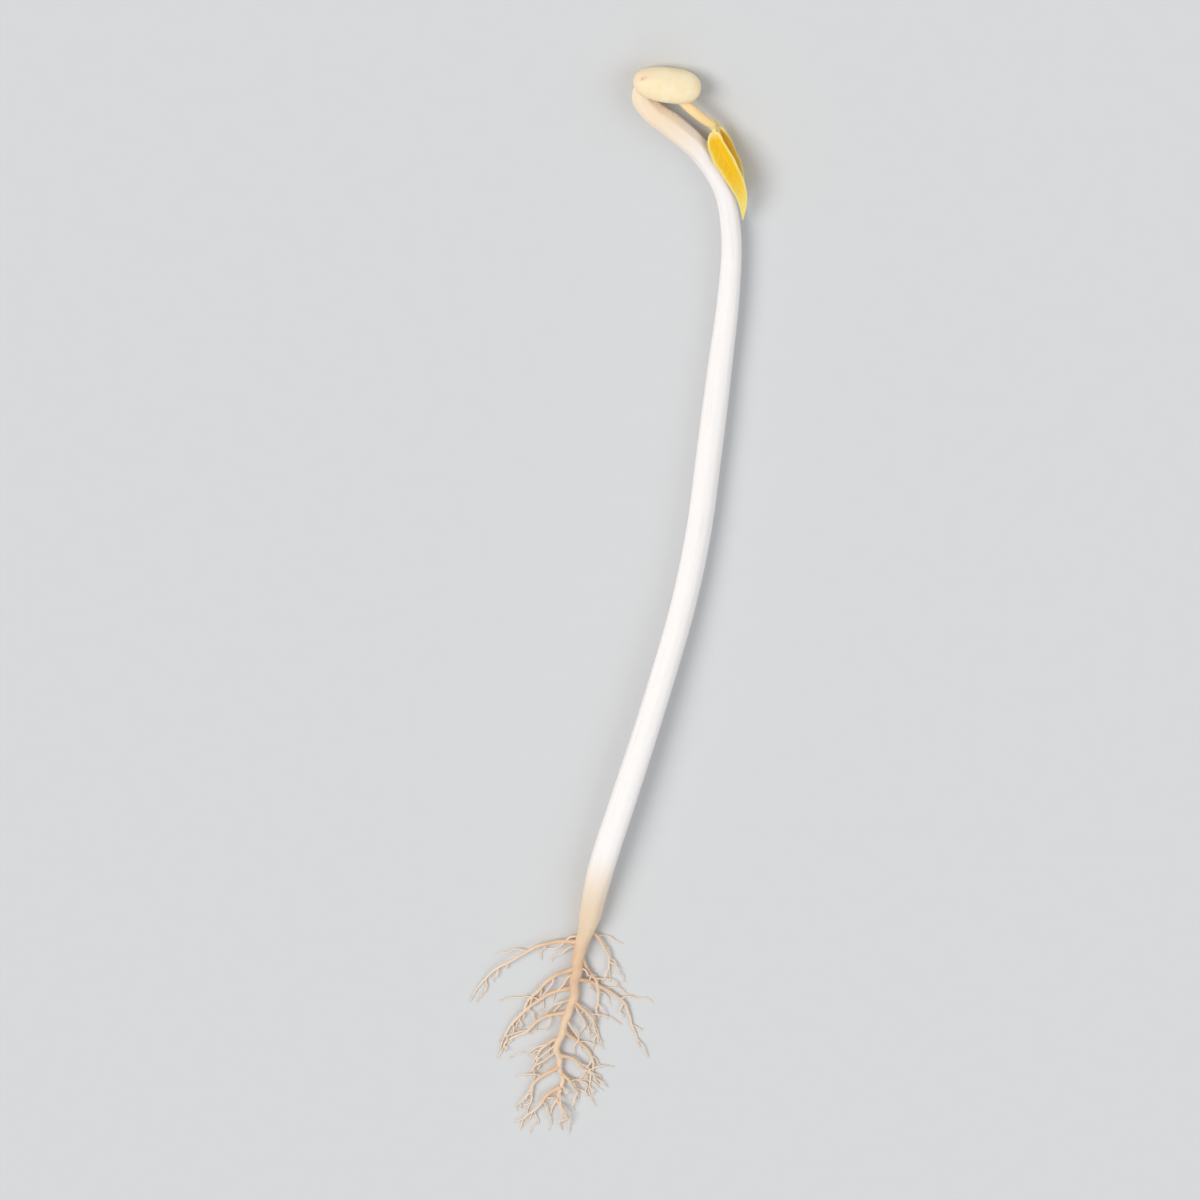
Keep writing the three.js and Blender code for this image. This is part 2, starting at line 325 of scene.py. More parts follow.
class SeedLeafSettings(bpy.types.PropertyGroup):
    """Looks of the two seed leaves."""

    flesh: colour_setting("Flesh", "a seed leaf", "ffedcb")
    base: colour_setting("Base", "a seed leaf where it joins the hook", "f7dfbd")
    scar: colour_setting("Scar", "the small scar near the base", "c08f74")
    wrinkle: length_setting("Wrinkle", "Depth of the shallow wrinkles", 0.045)


class LeafSettings(bpy.types.PropertyGroup):
    """Sizes and looks of the first pair of leaves."""

    blade: colour_setting("Blade", "a leaf blade", "fcc100")
    vein: colour_setting("Vein", "the veins", "fcd650")
    margin: colour_setting("Margin", "the thin edges and of the stalk", "fbe3a0")
    thickness: length_setting("Thickness", "Thickness of a blade", 0.3)
    relief: length_setting("Relief", "How far the veins sink in and the blade puffs up", 0.028)
    vein_gap: length_setting("Vein gap", "Distance between side veins", 1.25)


class RootSettings(bpy.types.PropertyGroup):
    """Looks of the taproot and its side roots."""

    bark: colour_setting("Skin", "the older root", "e6c5a2")
    tip: colour_setting("Tip", "the young root tips", "f4e0cc")
    stain: colour_setting("Stain", "the brown flecks", "cb9c78")
    rootlets: count_setting("Rootlets", "Fine roots on each side root", 5, 12)
    threads: count_setting("Threads", "Thin roots straight off the taproot", 16, 40)
    hairs: count_setting("Hairs", "Root hairs in all", 3400, 5000)


class TableSettings(bpy.types.PropertyGroup):
    """The table, the lamps and the camera."""

    top: colour_setting("Table", "the table top", "d4d6d8")
    lamp: FloatProperty(name="Lamp", description="Strength of the main lamp", min=0, default=2.0)
    sky: FloatProperty(name="Sky", description="Strength of the light from all round", min=0, default=0.36)
    lens: FloatProperty(
        name="Lens", description="Focal length in millimetres", subtype="DISTANCE_CAMERA", default=150
    )
    shift: FloatProperty(
        name="Shift", description="How far towards the head the camera aims",
        unit="LENGTH", precision=4, default=6.5 * MM,
    )
    tilt: FloatProperty(
        name="Tilt", description="How far the camera leans off straight above",
        subtype="ANGLE", default=math.radians(33),
    )


# ------ finishes


class Value:
    """What a socket gives. Arithmetic on it adds Math nodes."""

    def __init__(self, finish, socket):
        self.finish = finish
        self.socket = socket

    def math(self, operation, first, second):
        made = self.finish.node("ShaderNodeMath", {"operation": operation}, {0: first, 1: second})
        return Value(self.finish, made.outputs[0])

    def __add__(self, other):
        return self.math("ADD", self, other)

    def __sub__(self, other):
        return self.math("SUBTRACT", self, other)

    def __rsub__(self, other):
        return self.math("SUBTRACT", other, self)

    def __mul__(self, other):
        return self.math("MULTIPLY", self, other)

    __radd__ = __add__


class Finish:
    """A material: its node tree, its main shader and the colour that is built up for it."""

    def __init__(self, name, colour, **skin):
        self.colour = colour
        self.material = bpy.data.materials.new(name)
        self.material.use_nodes = True
        self.tree = self.material.node_tree
        self.shader = self.tree.nodes["Principled BSDF"]
        for key, value in skin.items():
            self.shader.inputs[key.replace("_", " ")].default_value = value

    def node(self, kind, settings=None, values=None):
        """Adds a node: its settings first, then the values or links of its sockets."""
        made = self.tree.nodes.new(kind)
        for key, value in (settings or {}).items():
            setattr(made, key, value)
        for key, value in (values or {}).items():
            self.feed(made.inputs[key], value)
        return made

    def feed(self, socket, value):
        if isinstance(value, Value):
            self.tree.links.new(value.socket, socket)
        else:
            socket.default_value = value

    def mark(self, name, output="Fac"):
        """A mark that the mesh carries at each point."""
        made = self.node("ShaderNodeAttribute", {"attribute_type": "GEOMETRY", "attribute_name": name})
        return Value(self, made.outputs[output])

    def place(self):
        return Value(self, self.node("ShaderNodeTexCoord").outputs["Object"])

    def grain(self, size, detail=3.0, stretch=None, vector=None):
        """Cloudy noise from 0 to 1 whose clouds are about size across, in metres."""
        vector = vector or self.mark("straight", "Vector")
        if stretch:
            longer = self.node("ShaderNodeVectorMath", {"operation": "MULTIPLY"}, {0: vector, 1: stretch})
            vector = Value(self, longer.outputs[0])
        values = {"Vector": vector, "Scale": 1 / size, "Detail": detail, "Roughness": 0.55}
        return Value(self, self.node("ShaderNodeTexNoise", None, values).outputs[0])

    def rise(self, value, low, high):
        """0 below low, 1 above high, and a smooth slope between."""
        values = {"Value": value, "From Min": low, "From Max": high}
        made = self.node("ShaderNodeMapRange", {"interpolation_type": "SMOOTHSTEP"}, values)
        return Value(self, made.outputs[0])

    def wash(self, share, colour):
        """Lays another colour over the finish's own by a share."""
        under, over = (c if isinstance(c, Value) else (*c, 1) for c in (self.colour, colour))
        made = self.node("ShaderNodeMix", {"data_type": "RGBA"}, {0: share, 6: under, 7: over})
        self.colour = Value(self, made.outputs[2])

    def bump(self, height, depth):
        """Fine relief, where depth is how far a height of 1 stands out, in metres."""
        made = self.node("ShaderNodeBump", None, {"Strength": 1.0, "Distance": depth, "Height": height})
        self.feed(self.shader.inputs["Normal"], Value(self, made.outputs[0]))

    def paint(self, roughness):
        self.feed(self.shader.inputs["Base Color"], self.colour)
        self.feed(self.shader.inputs["Roughness"], roughness)
        return self.material

    def firm(self, share):
        """Keeps light from sinking in where share is 1, once the finish is painted."""
        firm = self.node("ShaderNodeBsdfPrincipled")
        for name in ("Base Color", "Roughness", "Normal", "Coat Weight", "Coat Roughness", "IOR"):
            source = self.shader.inputs[name]
            linked = Value(self, source.links[0].from_socket) if source.is_linked else source.default_value
            self.feed(firm.inputs[name], linked)
        soft, hard = Value(self, self.shader.outputs[0]), Value(self, firm.outputs[0])
        both = self.node("ShaderNodeMixShader", None, {0: share, 1: soft, 2: hard})
        self.tree.links.new(both.outputs[0], self.tree.nodes["Material Output"].inputs["Surface"])
        return self.material


def flesh(name, colour, depth, glow=(1.0, 0.75, 0.5), share=0.45, **skin):
    """A finish for wet plant flesh that a share of the light sinks into by depth, in metres."""
    inner = {"Subsurface_Weight": share, "Subsurface_Radius": glow, "Subsurface_Scale": depth}
    return Finish(name, colour, IOR=1.4, **inner, **skin)


def stem_finish(settings):
    """White flesh with fine fibres, creamier at the hook and tan at the foot."""
    glow = (1.0, 0.86, 0.74)
    finish = flesh("stem_flesh", settings.flesh, 1.1 * MM, glow, Coat_Weight=0.3, Coat_Roughness=0.16)
    along = finish.mark("along")
    fibres = finish.grain(0.34 * MM, 4.0, (1, 1, 0.035))
    clouds = finish.grain(2.6 * MM, stretch=(1, 1, 0.25))
    finish.wash(clouds * 0.5, STEM_CLOUD)
    finish.wash(finish.rise(fibres, 0.5, 0.75) * 0.35, STEM_FIBRE)
    hook = finish.rise(along + clouds * 0.04, 0.89, 0.97)
    finish.wash(hook * 0.85, settings.hook)
    foot = 1 - finish.rise(along - clouds * 0.04, -0.015, 0.09)
    finish.wash(foot, settings.foot)
    finish.bump(fibres * 0.7 + clouds * 0.3, 0.03 * MM)
    finish.paint(0.22 + fibres * 0.24)
    return finish.firm(1 - finish.rise(along, 0.035, 0.08))


def young_stem_finish(settings):
    """Cream skin with fine fibres, yellower towards the leaves."""
    finish = flesh("young_stem_flesh", settings.hook, 0.6 * MM, Coat_Weight=0.1, Coat_Roughness=0.25)
    fibres = finish.grain(0.22 * MM, 4.0, (1, 1, 0.08))
    finish.wash(finish.mark("along"), settings.young)
    finish.wash(finish.rise(fibres, 0.45, 0.75) * 0.4, YOUNG_FIBRE)
    finish.bump(fibres, 0.03 * MM)
    return finish.paint(0.34 + fibres * 0.2)


def seed_leaf_finish(settings):
    """Cream skin, duller where it joins the hook, with a small brown scar."""
    finish = flesh("seed_leaf_flesh", settings.flesh, 0.9 * MM, Coat_Weight=0.1, Coat_Roughness=0.3)
    along = finish.mark("along")
    clouds = finish.grain(1.6 * MM, 4.0)
    pores = finish.grain(0.22 * MM, 3.0, (0.45, 1, 1))
    finish.wash(finish.rise(clouds, 0.35, 0.8) * 0.8, SEED_CLOUD)
    finish.wash(1 - finish.rise(along + clouds * 0.25, 0.1, 0.5), settings.base)
    finish.wash(finish.rise(pores, 0.6, 0.85) * 0.3, SEED_PORE)
    finish.wash(finish.mark("scar") * finish.rise(pores, 0.25, 0.6), settings.scar)
    finish.bump(pores * 0.6 + clouds * 0.4, 0.035 * MM)
    return finish.paint(0.36 + pores * 0.2)


def leaf_finish(settings):
    """A bright thin blade with paler veins and edges, and painted light where the lower leaf's paleness
    reaches over its shaded inner face.
    """
    glow = (1.0, 0.8, 0.35)
    finish = flesh("leaf_blade", settings.blade, 0.8 * MM, glow, 0.75, Coat_Weight=0.08, Coat_Roughness=0.3)
    clouds = finish.grain(1.4 * MM, 4.0)
    cells = finish.grain(0.16 * MM, 2.0)
    finish.wash(finish.rise(clouds, 0.35, 0.7) * 0.5, LEAF_CLOUD)
    finish.wash(finish.rise(finish.mark("along"), 0.45, 0.95) * 0.8, LEAF_END)
    finish.wash(finish.rise(cells, 0.5, 0.8) * 0.25, LEAF_CELL)
    finish.wash(finish.mark("back") * 0.4, settings.vein)
    finish.wash(finish.mark("vein") * 0.4, settings.vein)
    # paler edges and stalk, and on the lower leaf painted light over its shaded inner face
    finish.wash(finish.mark("margin"), settings.margin)
    finish.bump(cells, 0.02 * MM)
    return finish.paint(0.4 + cells * 0.2)


def root_finish(settings):
    """Tan fibrous skin with brown flecks, paler at the tips."""
    finish = Finish("root_skin", settings.bark, IOR=1.4, Coat_Roughness=0.16)
    fibres = finish.grain(0.2 * MM, 4.0, (1, 1, 0.09))
    clouds = finish.grain(1.8 * MM, 4.0, (1, 1, 0.4))
    finish.wash(finish.rise(clouds, 0.42, 0.7) * 0.55, settings.stain)
    finish.wash(finish.rise(fibres, 0.45, 0.8) * 0.35, ROOT_FIBRE)
    finish.wash(finish.rise(finish.mark("young"), 0.1, 0.9), settings.tip)
    collar = finish.mark("collar")
    finish.wash(collar, COLLAR_TAN)
    finish.bump(fibres * (1 - collar * 0.5), 0.05 * MM)
    finish.feed(finish.shader.inputs["Coat Weight"], collar * 0.3)
    return finish.paint(0.5 + fibres * 0.25 - collar * 0.26)


def root_hair_finish(settings):
    """Pale silky hairs, a little darker in patches."""
    finish = Finish("root_hair", settings.tip, Subsurface_Weight=0.2, Subsurface_Scale=0.1 * MM)
    patches = finish.grain(2.5 * MM, 2.0, vector=finish.place())
    finish.wash(patches, HAIR_PATCH)
    return finish.paint(0.45 + patches * 0.2)


def table_finish(settings):
    """A plain pale matt top."""
    finish = Finish("table_top", settings.top, Specular_IOR_Level=0.2)
    dust = finish.grain(3 * MM, 4.0, vector=finish.place())
    finish.wash(dust * 0.06, WHITE)
    return finish.paint(0.55 + dust * 0.1)


# ------ lines and skins


def unit(vectors):
    return vectors / np.linalg.norm(vectors, axis=-1, keepdims=True)


def between(low, high, share):
    return low + (high - low) * share


def smooth_step(value, low, high):
    share = np.clip((value - low) / (high - low), 0, 1)
    return share * share * (3 - 2 * share)


def stops_at(stops, share):
    """Values at shares, read from (share, value) stops and eased round each."""
    places, values = zip(*stops)
    nearby = np.linspace(-STOP_EASE, STOP_EASE, 9)
    reads = np.interp(np.clip(np.asarray(share)[..., None] + nearby, 0, 1), places, values)
    return reads.mean(axis=-1)


class Line:
    """A smooth line through a route's points, read by the share of its length."""

    FINENESS = 40  # points on each stretch of the route
    LOOK = 0.004  # share ahead and back that gives a heading

    def __init__(self, route):
        points = np.array(route, float) * MM
        points = np.vstack([2 * points[0] - points[1], points, 2 * points[-1] - points[-2]])
        gaps = np.sqrt(np.linalg.norm(np.diff(points, axis=0), axis=1))
        u = np.linspace(0, 1, self.FINENESS, endpoint=False)[:, None]
        pieces = []
        for i in range(1, len(points) - 2):
            before, here, after = gaps[i - 1:i + 2]
            p0, p1, p2, p3 = points[i - 1:i + 3]
            start = here * ((p1 - p0) / before - (p2 - p0) / (before + here) + (p2 - p1) / here)
            end = here * ((p2 - p1) / here - (p3 - p1) / (here + after) + (p3 - p2) / after)
            step = p2 - p1
            bend = 3 * step - 2 * start - end
            pieces.append(p1 + u * start + u**2 * bend + u**3 * (start + end - 2 * step))
        self.points = np.vstack([*pieces, points[-2]])
        steps = np.linalg.norm(np.diff(self.points, axis=0), axis=1)
        self.reach = np.concatenate([[0], np.cumsum(steps)])
        self.length = self.reach[-1]

    def at(self, share):
        place = np.asarray(share) * self.length
        return np.stack([np.interp(place, self.reach, self.points[:, k]) for k in range(3)], axis=-1)

    def heading(self, share):
        ahead = self.at(np.clip(share + self.LOOK, 0, 1))
        return unit(ahead - self.at(np.clip(share - self.LOOK, 0, 1)))


def cross_frame(heading):
    """For each heading, the directions to its right and up."""
    right = unit(np.cross(heading, (0.0, 0.0, 1.0)))
    return right, np.cross(right, heading)


def clouds_at(places, size, seed=0.0):
    """Smooth noise from -1 to 1 at places whose clouds are about size across."""
    flat = places.reshape(-1, 3) / size + seed
    return np.array([noise.noise(Vector(p)) for p in flat]).reshape(places.shape[:-1])


def straight_places(turn, radius, reach):
    """Where a tube's points would lie if it were straight."""
    x = np.cos(turn)[None] * radius
    y = np.sin(turn)[None] * radius
    return np.stack([x, y, np.broadcast_to(reach[:, None], x.shape)], axis=-1)


def placed(name, data):
    """A new object in the scene."""
    made = bpy.data.objects.new(name, data)
    bpy.context.scene.collection.objects.link(made)
    return made


class Skin:
    """A mesh in the making, of closed skins laid over rings of points."""

    def __init__(self):
        self.points = []
        self.faces = []
        self.marks = {}
        self.count = 0

    def loft(self, rings, **marks):
        """Skins rings of shape (rings, around, 3) and closes both ends."""
        count, around = rings.shape[:2]
        here = np.arange(around)
        there = np.roll(here, -1)
        rows = self.count + np.arange(count - 1)[:, None] * around
        quads = [rows + here, rows + around + here, rows + around + there, rows + there]
        self.faces += np.stack(quads, axis=-1).reshape(-1, 4).tolist()
        start = self.count + count * around
        last = start - around
        self.faces += [(start, self.count + a, self.count + b) for a, b in zip(here, there)]
        self.faces += [(start + 1, last + b, last + a) for a, b in zip(here, there)]
        self.points.append(self.with_ends(rings))
        for name, values in marks.items():
            shape = (count, around) + values.shape[2:]
            self.marks.setdefault(name, []).append(self.with_ends(np.broadcast_to(values, shape)))
        self.count = start + 2

    def tube(self, centre, heading, radius, turn, **marks):
        """Skins a tube round a line. radius is of shape (rings, around)."""
        right, up = cross_frame(heading)
        turn = turn[None, :, None]
        spokes = np.cos(turn) * right[:, None] + np.sin(turn) * up[:, None]
        rings = centre[:, None] + radius[..., None] * spokes
        rings[..., 2] = np.maximum(rings[..., 2], 0)
        self.loft(rings, **marks)

    @staticmethod
    def with_ends(values):
        ends = values[[0, -1]].mean(axis=1)
        return np.concatenate([values.reshape(-1, *values.shape[2:]), ends])

    def grow(self, name, node, slot, material):
        """Makes the piece. It stands for the solid part node, if one is given."""
        mesh = bpy.data.meshes.new(name)
        mesh.from_pydata(np.concatenate(self.points).tolist(), [], self.faces)
        mesh.polygons.foreach_set("use_smooth", [True] * len(mesh.polygons))
        for mark, parts in self.marks.items():
            values = np.concatenate(parts)
            kind, field = ("FLOAT_VECTOR", "vector") if values.ndim == 2 else ("FLOAT", "value")
            layer = mesh.attributes.new(mark, kind, "POINT")
            layer.data.foreach_set(field, values.astype(np.float32).ravel())
        mesh.materials.append(material)
        mesh.update()
        piece = placed(name, mesh)
        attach(piece, BODY)
        if node:
            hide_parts(node)


def round_ends(reach, total, start, end):
    """Shares of a tube's radius that draw it in over lengths at its start and its end."""
    from_start = np.clip(reach / start, 0, 1)
    from_end = np.clip((total - reach) / end, 0, 1)
    shares = np.sqrt(1 - (1 - from_start) ** 2) * np.sqrt(1 - (1 - from_end) ** 2)
    return np.maximum(shares, TUBE_TIP)[:, None]


def inset(share):
    """Shares drawn in a little at both ends, so that a skin can close."""
    return share * (1 - 2 * INSET) + INSET


def end_heavy(count, bias=1.6):
    """Shares from 0 to 1 that crowd towards both ends."""
    u = np.linspace(-1, 1, count)
    return 0.5 + 0.5 * np.sin(u * math.pi / 2) * (bias - 1) / bias + 0.5 * u / bias


def full_turn(count):
    return np.linspace(0, 2 * math.pi, count, endpoint=False)


# ------ the stem


def stem_skin(settings):
    """The stem, uneven and ribbed, with creases inside the hook."""
    line = Line(STEM_ROUTE)
    below, above = STEM_RINGS
    share = np.concatenate([
        np.linspace(STEM_MARGIN, HOOK_SHARE, below, endpoint=False),
        np.linspace(HOOK_SHARE, 1 - STEM_MARGIN, above),
    ])
    turn = full_turn(STEM_SIDES)
    reach = share * line.length
    foot = 1 - smooth_step(reach, 0.0, FOOT_LENGTH * MM)
    base = stops_at(STEM_RADIUS, share) * MM - FOOT_INSET * MM * foot
    centre = line.at(share)
    centre[:, 2] = np.maximum(centre[:, 2], 0) + base * RESTING
    straight = straight_places(turn, base[:, None], reach)
    swell = clouds_at(straight * (1, 1, 0.18), SWELL_SIZE * MM) * settings.swell
    sway = RIB_SWAY * np.sin(reach / (RIB_SWAY_LENGTH * MM))[:, None]
    ribs = np.cos(RIBS * turn[None] + sway) * settings.rib
    hook = smooth_step(share, *CREASES_BEGIN)[:, None] * (1 - smooth_step(share, *CREASES_END))[:, None]
    inner = np.clip(np.cos(turn), 0, 1)[None] ** 2
    uneven = clouds_at(straight * (0.5, 0.5, 1), 0.8 * MM, 9.0)
    folds = np.cos(2 * math.pi * (reach[:, None] + CREASE_SHIFT * MM * uneven) / (CREASE_GAP * MM))
    creases = folds * inner * hook * (CREASE_DEPTH + CREASE_UNEVEN * uneven) * MM
    oval = OVAL * np.cos(2 * (turn[None] - (reach / (OVAL_TURN_LENGTH * MM))[:, None])) * base[:, None]
    lively = smooth_step(share, *BARE_FROM)[:, None]
    closed = round_ends(reach, line.length, 0.3 * MM, 0.8 * MM)
    radius = (base[:, None] + (oval + swell + ribs + creases) * lively) * closed
    skin = Skin()
    skin.tube(centre, line.heading(share), radius, turn, straight=straight, along=share[:, None])
    return skin


# ------ the seed leaves


def young_stem_middle(line, share):
    """Where the young stem's middle is at shares of its line."""
    centre = line.at(share)
    centre[..., 2] += stops_at(YOUNG_RADIUS, share) * MM
    return centre


def swung(x, y, degrees):
    """Two coordinates after a clockwise turn by an angle."""
    a = math.radians(degrees)
    return x * math.cos(a) + y * math.sin(a), y * math.cos(a) - x * math.sin(a)


def young_stem_bed(rings, flat_side, side):
    """A seed leaf's heights, with a bed for the young stem in its flat side."""
    core = young_stem_middle(Line(YOUNG_ROUTE), np.linspace(0, 1, BED_POINTS))
    gap = np.linalg.norm(rings[..., None, :2] - core[:, :2], axis=-1)
    lift = np.sqrt(np.maximum((YOUNG_ROOM * MM) ** 2 - gap.min(axis=-1) ** 2, 0))
    bed = core[gap.argmin(axis=-1), 2] + side * lift
    height = rings[..., 2]
    return np.where(flat_side & (lift > 0), side * np.maximum(side * height, side * bed), height)


def seed_leaf_scar(straight, half_length):
    """How brown the points are round the small scar."""
    at = np.array(SCAR_AT) * (half_length, SEED_HALF_WIDTH) * MM
    off = (straight[..., :2] - at) / (SCAR_SIZE[0] * MM, SCAR_SIZE[1] * MM)
    off[..., 1] -= SCAR_SLANT * off[..., 0]
    return SCAR_STRENGTH * np.exp(-1.2 * np.sum(off**2, axis=-1))


def seed_leaf_skin(settings, side):
    """Half a bean, wrinkled outside. side is 1 for the upper one and -1 for the lower."""
    base, tip = np.array(SEED_BASE), np.array(SEED_TIP)
    half_length = np.linalg.norm(tip - base) / 2
    along = -np.cos(np.linspace(0.02, math.pi - 0.02, SEED_RINGS))[:, None]
    turn = full_turn(SEED_SIDES)[None]
    full = np.maximum(1 - np.abs(along) ** SEED_END, 0) ** SEED_FULLNESS
    out = np.sin(turn) * full
    edge = SEED_RIM * np.maximum(1 - np.abs(out), 0) ** 2
    crown = SEED_CROWN * np.maximum(out, 0) ** SEED_DOME * (1 - 0.07 * along)
    shoulder = SEED_SHOULDER * smooth_step(-along, *SEED_SHOULDER_FROM)
    x = along * half_length - shoulder + 0 * out
    y = np.cos(turn) * full * SEED_HALF_WIDTH
    z = crown + edge
    straight = np.stack([x, y, z], axis=-1) * MM * (1, side, side)
    furrows = clouds_at(straight * (0.3, 1, 1), FURROW_SIZE * MM, 3.0 * side) * settings.wrinkle / MM
    dents = clouds_at(straight, DENT_SIZE * MM, 7.0 * side) * DENT_DEPTH * settings.wrinkle / MM
    z = z + (furrows + dents) * smooth_step(out, *WRINKLES_FROM)

    y, z = swung(y - SEED_HALF_WIDTH, z, SEED_OPEN)
    y, z = swung(y + SEED_HALF_WIDTH, (z + SEED_GAP) * side, HEAD_ROLL)
    heading = (tip - base) / (2 * half_length)
    middle = (base + tip) / 2
    rings = MM * np.stack([
        middle[0] + x * heading[0] - y * heading[1],
        middle[1] + x * heading[1] + y * heading[0],
        z + HEAD_MIDDLE,
    ], axis=-1)
    rings[..., 2] = np.maximum(young_stem_bed(rings, out <= 0.02, side), 0)
    if side < 0:
        rings, straight = rings[:, ::-1], straight[:, ::-1]
    scar = seed_leaf_scar(straight, half_length) * (side > 0)
    skin = Skin()
    skin.loft(rings, straight=straight, along=(along + 1) / 2, scar=scar)
    return skin


# ------ the young stem and its leaves


def young_stem_skin():
    """The young stem with its bud and scales."""
    line = Line(YOUNG_ROUTE)
    share = inset(end_heavy(YOUNG_RINGS))
    turn = full_turn(YOUNG_SIDES)
    reach = share * line.length
    base = stops_at(YOUNG_RADIUS, share) * MM
    straight = straight_places(turn, base[:, None], reach)
    ribs = np.cos(YOUNG_RIBS * turn)[None] * YOUNG_RIB * MM
    swell = clouds_at(straight * (1, 1, 0.4), 0.8 * MM) * YOUNG_SWELL * MM
    radius = (base[:, None] + (ribs + swell)) * round_ends(reach, line.length, 0.3 * MM, 0.35 * MM)
    skin = Skin()
    centre = young_stem_middle(line, share)
    skin.tube(centre, line.heading(share), radius, turn, straight=straight, along=share[:, None])
    small_point(skin, BUD_ROUTE, BUD_WIDTH, BUD_FLATNESS)
    for route in SCALE_ROUTES:
        small_point(skin, route, SCALE_WIDTH, SCALE_FLATNESS)
    return skin


def small_point(skin, route, widths, flat):
    """A bud or a scale at the young stem's end. flat is its thickness over its width."""
    line = Line(route)
    share = np.linspace(0, 1, POINT_RINGS)
    turn = full_turn(POINT_SIDES)
    reach = share * line.length
    width = stops_at(widths, share)[:, None] * MM
    oval = flat / np.hypot(np.sin(turn), flat * np.cos(turn))
    radius = width * oval * round_ends(reach, line.length, 0.05 * MM, 0.1 * MM)
    straight = straight_places(turn, width, reach)
    along = np.ones_like(radius)
    skin.tube(line.at(share), line.heading(share), radius, turn, straight=straight, along=along)


def leaf_half_width(share, widest):
    """Half a leaf's width, with a short stalk and a long pointed tip."""
    blade = np.clip((share - STALK_SHARE) / (1 - STALK_SHARE), 0, 1)
    belly = np.maximum(np.sin(math.pi * blade**LEAF_BELLY), 0)
    end = between(STALK_HALF_WIDTH, LEAF_TIP, share)
    return end + (widest - end) * belly


def leaf_skin(settings, route, widest, roll, paleness_and_painted_light_from, seed):
    """A thin blade folded up from its midrib, with sunk veins and a waved edge."""
    line = Line(route)
    share = inset(end_heavy(LEAF_RINGS)[:, None] ** 1.1)
    turn = full_turn(LEAF_SIDES)[None]
    width = leaf_half_width(share, widest)
    reach = np.cos(turn) * width
    off_rib = np.abs(reach)
    out = off_rib / width
    rim = np.sqrt(np.abs(np.sin(turn))) * np.sign(np.sin(turn))
    place = share * line.length / MM

    gap = settings.vein_gap / MM
    rank = (place - off_rib * VEIN_SLANT) / gap + np.where(reach > 0, 0.5, 0.0)
    off_vein = np.abs(rank - np.round(rank)) * gap * VEIN_NEARNESS
    fade = (1 - smooth_step(out, *VEIN_FADES)) * smooth_step(share, *VEIN_BEGINS)
    side_vein = np.exp(-((off_vein / VEIN_WIDTH) ** 2)) * fade
    rib = np.exp(-((off_rib / between(*MIDRIB_WIDTH, share)) ** 2))
    vein = np.maximum(side_vein, rib)

    puff = (1 - vein) * (settings.relief / MM) * (1 - smooth_step(out, *PUFF_FADES))
    keel = KEEL * np.exp(-((off_rib / KEEL_WIDTH) ** 2)) * (1 - share) * (rim < 0)
    stalk = 1 - smooth_step(share, STALK_SHARE, STALK_END)
    thickness = between(settings.thickness / MM, STALK_THICKNESS, stalk)
    puff = np.where(rim > 0, puff, PUFF_BELOW * puff)
    depth = rim * thickness / 2 + puff * (1 - stalk) - keel * (1 - stalk)
    side = np.sign(reach)
    ripple = sum(size * np.sin(pace * place + a * seed + b * side) for size, pace, a, b in RIPPLES)
    wave = WAVE * ripple * (off_rib / widest) ** 2

    fold = math.radians(LEAF_FOLD) * (1 - FOLD_EASE * smooth_step(share, 0.5, 1.0))
    rise = np.hypot(reach * np.sin(fold), FOLD_ROUNDING) - FOLD_ROUNDING + wave
    height = rise * (1 - 0.8 * stalk) + depth
    heading = line.heading(share[:, 0])
    right, up = (swung(way, np.cross(heading, way), roll)[0] for way in cross_frame(heading))
    sideways = (reach * np.cos(fold))[..., None] * right[:, None]
    rings = line.at(share[:, 0])[:, None] + (sideways + height[..., None] * up[:, None]) * MM
    rings[..., 2] = np.maximum(rings[..., 2], LEAF_FLOOR * MM)
    # paler edges and stalk; on the lower leaf the paleness reaches far in as painted light on its shaded
    # inner face
    margin = smooth_step(out, paleness_and_painted_light_from, 1.0) * 0.8 + (1 - smooth_step(share, *STALK_PALE)) * 0.9
    skin = Skin()
    skin.loft(
        rings,
        straight=np.stack([reach + seed, 0 * reach + place, depth], axis=-1) * MM,
        vein=vein,
        margin=np.clip(margin, 0, 1),
        back=smooth_step(-rim, 0.0, 0.3),
        along=share,
    )
    return skin


# ------ the roots


def seeded_draw(seed):
    """Draws between 0 and 1 that come out the same each time."""
    state = seed
    while True:
        state = (state * 1664525 + 1013904223) % 4294967296
        yield state / 4294967296


def turned(heading, degrees):
    """A heading turned about the upright by an angle."""
    return np.array([*swung(heading[0], heading[1], -degrees), 0.0])


def root_strand(skin, route, strand, seed, still=0.0):
    """Lays one root over a route, which it wanders off after its first still millimetres.

    Returns the line it lies on and its radius by share.
    """
    stops, scale, rings, around, age = strand
    line = Line(route)
    share = np.linspace(0, 1, rings)
    turn = full_turn(around)
    reach = share * line.length
    base = stops_at(stops, share) * MM * scale
    centre = line.at(share)
    free = np.clip(reach - still * MM, 0, FREE_LENGTH * MM)
    wander = clouds_at(centre * (1, 1, 0), WANDER_SIZE * MM, seed) * free * WANDER
    right, _ = cross_frame(line.heading(share))
    centre = centre + right * wander[:, None]
    centre[:, 2] = np.maximum(centre[:, 2], 0) + base * RESTING
    straight = straight_places(turn, base[:, None], reach + seed * MM)
    knots = clouds_at(straight * (1, 1, 0.4), KNOT_SIZE * MM, seed) * base[:, None] * KNOT_HEIGHT
    knots = knots * (free / (FREE_LENGTH * MM))[:, None]
    radius = (base[:, None] + knots) * round_ends(reach, line.length, 0.05 * MM, 0.25 * MM)
    collar = np.zeros((rings, 1))
    if still:
        collar = 1 - smooth_step(reach, still * MM, (still + COLLAR_FADE) * MM)[:, None]
    young = between(*age, share)[:, None]
    skin.tube(centre, line.heading(share), radius, turn, straight=straight, young=young, collar=collar)
    line.points, line.reach = centre, reach
    return line, lambda place: float(np.interp(place, share, base))


